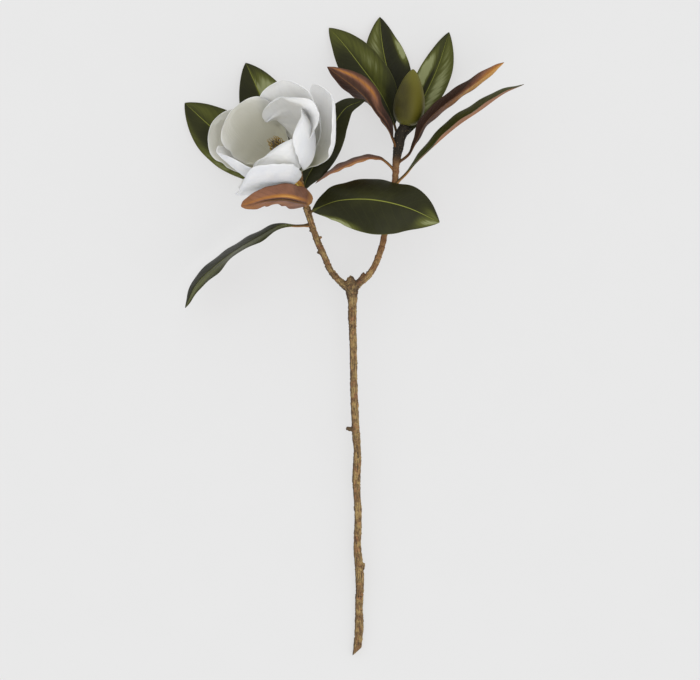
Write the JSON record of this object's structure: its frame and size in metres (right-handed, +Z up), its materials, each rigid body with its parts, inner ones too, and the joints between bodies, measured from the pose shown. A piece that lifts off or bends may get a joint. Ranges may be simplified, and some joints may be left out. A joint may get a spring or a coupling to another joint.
{
  "type": "magnolia branch",
  "caption": "Cut evergreen magnolia branch lying down: a forked woody stem with an open white bloom, a closed bud and glossy leathery leaves with rusty undersides.",
  "frame": {"origin": "on the table, under the middle of the part's bounding box", "axes": "+Z up from the table that the branch lies on; +Y along the stem from its cut end towards the bud and leaf tips; +X to the right, the bud's side, as seen from above with the cut end nearest"},
  "size_m": [0.4078, 0.7658, 0.1514],
  "materials": {
    "bark": "matt, tan-brown to olive bark with dark flecks and scars",
    "leaf": "glossy dark green above, matt rusty felt below",
    "petal": "matt waxy white",
    "stamen": "matt cream-yellow with brown tips",
    "pistil": "matt olive-yellow with curled brown styles",
    "bud": "satin olive green, finely downy"
  },
  "bodies": {
    "root": {"woody_stem": "bark", "leaf_lower_left": "leaf", "leaf_behind_bloom_left": "leaf", "leaf_behind_bloom_top": "leaf", "leaf_beside_bloom": "leaf", "leaf_between_twigs": "leaf", "leaf_front": "leaf", "leaf_curled": "leaf", "bract_under_bloom": "leaf", "leaf_bud_left": "leaf", "leaf_bud_back": "leaf", "leaf_bud_right": "leaf", "leaf_bud_front": "leaf", "leaf_side_upper": "leaf", "leaf_side_lower": "leaf", "petal_inner_front": "petal", "petal_inner_back": "petal", "petal_inner_top": "petal", "petal_middle_right": "petal", "petal_middle_top": "petal", "petal_middle_left": "petal", "petal_outer_right": "petal", "petal_outer_left": "petal", "petal_outer_bottom": "petal", "receptacle_with_stamens": "stamen", "pistil_cone": "pistil", "bud": "bud"}
  },
  "joints": []
}
